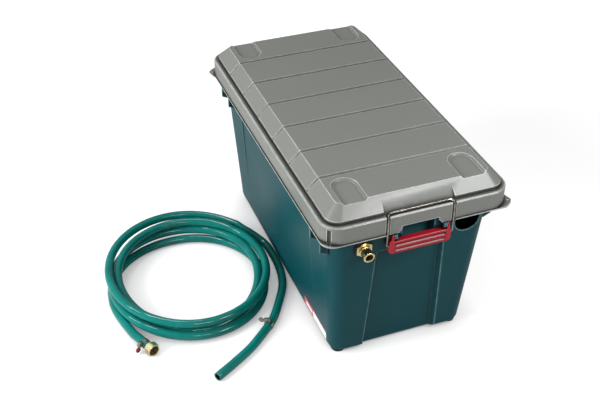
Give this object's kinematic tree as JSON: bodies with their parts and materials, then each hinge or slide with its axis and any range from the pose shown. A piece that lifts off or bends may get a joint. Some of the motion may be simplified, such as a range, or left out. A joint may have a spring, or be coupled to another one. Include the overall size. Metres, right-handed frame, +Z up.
{
  "type": "portable waste tote",
  "caption": "Lidded plastic tote for waste water, with a lift-off lid held by wire latches, a round port, a brass hose fitting and a coil of garden hose beside it",
  "frame": {"origin": "on the floor under the middle of the tub", "axes": "+Z up; the hose fitting, the port and one latch are in the end wall that faces -Y; +Y runs along the length; the hose lies on the -X side"},
  "size_m": [0.8846, 0.8666, 0.4785],
  "materials": {
    "tub_plastic": "satin moulded plastic",
    "lid_plastic": "fine-grained moulded plastic",
    "red_plastic": "glossy moulded plastic",
    "steel": "bright stainless steel",
    "brass": "machined brass",
    "black_rubber": "matt rubber",
    "green_hose": "glossy flexible vinyl"
  },
  "bodies": {
    "tub": {"tub": "tub_plastic", "fitting_body": "brass", "fitting_outer_washer": "black_rubber", "fitting_inner_washer": "black_rubber", "fitting_lock_nut": "brass", "hose_coil": "green_hose", "hose_fitting_end": "green_hose", "hose_free_end": "green_hose", "coupling_tail": "brass", "coupling_seal": "black_rubber", "coupling_clamp_band": "steel", "loose_clamp_band": "steel"},
    "lid": {"lid": "lid_plastic"},
    "front_latch_lever": {"front_latch_lever": "red_plastic"},
    "front_latch_bail": {"front_latch_bail": "steel"},
    "rear_latch_lever": {"rear_latch_lever": "red_plastic"},
    "rear_latch_bail": {"rear_latch_bail": "steel"},
    "coupling_nut": {"coupling_nut": "brass"},
    "coupling_clamp_screw": {"coupling_clamp_screw": "steel", "coupling_clamp_thumb_key": "red_plastic"},
    "loose_clamp_screw": {"loose_clamp_screw": "steel", "loose_clamp_thumb_key": "steel"}
  },
  "joints": [
    {"name": "lid_lift", "type": "slide", "parent": "tub", "child": "lid", "axis": [0, 0, 1], "range_m": [0, 0.045]},
    {"name": "front_lever_hinge", "type": "hinge", "parent": "tub", "child": "front_latch_lever", "pos_m": [0, -0.4265, 0.387], "axis": [-1, 0, 0], "range_deg": [0, 161]},
    {"name": "front_bail_hinge", "type": "hinge", "parent": "front_latch_lever", "child": "front_latch_bail", "pos_m": [0, -0.4265, 0.363], "axis": [1, 0, 0], "range_deg": [0, 321]},
    {"name": "rear_lever_hinge", "type": "hinge", "parent": "tub", "child": "rear_latch_lever", "pos_m": [0, 0.4265, 0.387], "axis": [1, 0, 0], "range_deg": [0, 161]},
    {"name": "rear_bail_hinge", "type": "hinge", "parent": "rear_latch_lever", "child": "rear_latch_bail", "pos_m": [0, 0.4265, 0.363], "axis": [-1, 0, 0], "range_deg": [0, 321]},
    {"name": "coupling_nut_spin", "type": "hinge", "parent": "tub", "child": "coupling_nut", "pos_m": [-0.5906, -0.186, 0.0178], "axis": [0.3995, -0.9167, 0.0065], "continuous": true},
    {"name": "coupling_clamp_screw_spin", "type": "hinge", "parent": "tub", "child": "coupling_clamp_screw", "pos_m": [-0.60776, -0.18381, 0.02493], "axis": [-0.397, -0.1795, -0.9001], "continuous": true},
    {"name": "loose_clamp_screw_spin", "type": "hinge", "parent": "tub", "child": "loose_clamp_screw", "pos_m": [-0.29259, -0.21556, 0.02821], "axis": [-0.6282, 0.6985, -0.3428], "continuous": true}
  ],
  "couplings": [
    {"joint": "front_lever_hinge", "follows": "lid_lift", "rad_per_m": 62.056},
    {"joint": "front_bail_hinge", "follows": "lid_lift", "rad_per_m": 124.11},
    {"joint": "rear_lever_hinge", "follows": "lid_lift", "rad_per_m": 62.056},
    {"joint": "rear_bail_hinge", "follows": "lid_lift", "rad_per_m": 124.11}
  ]
}
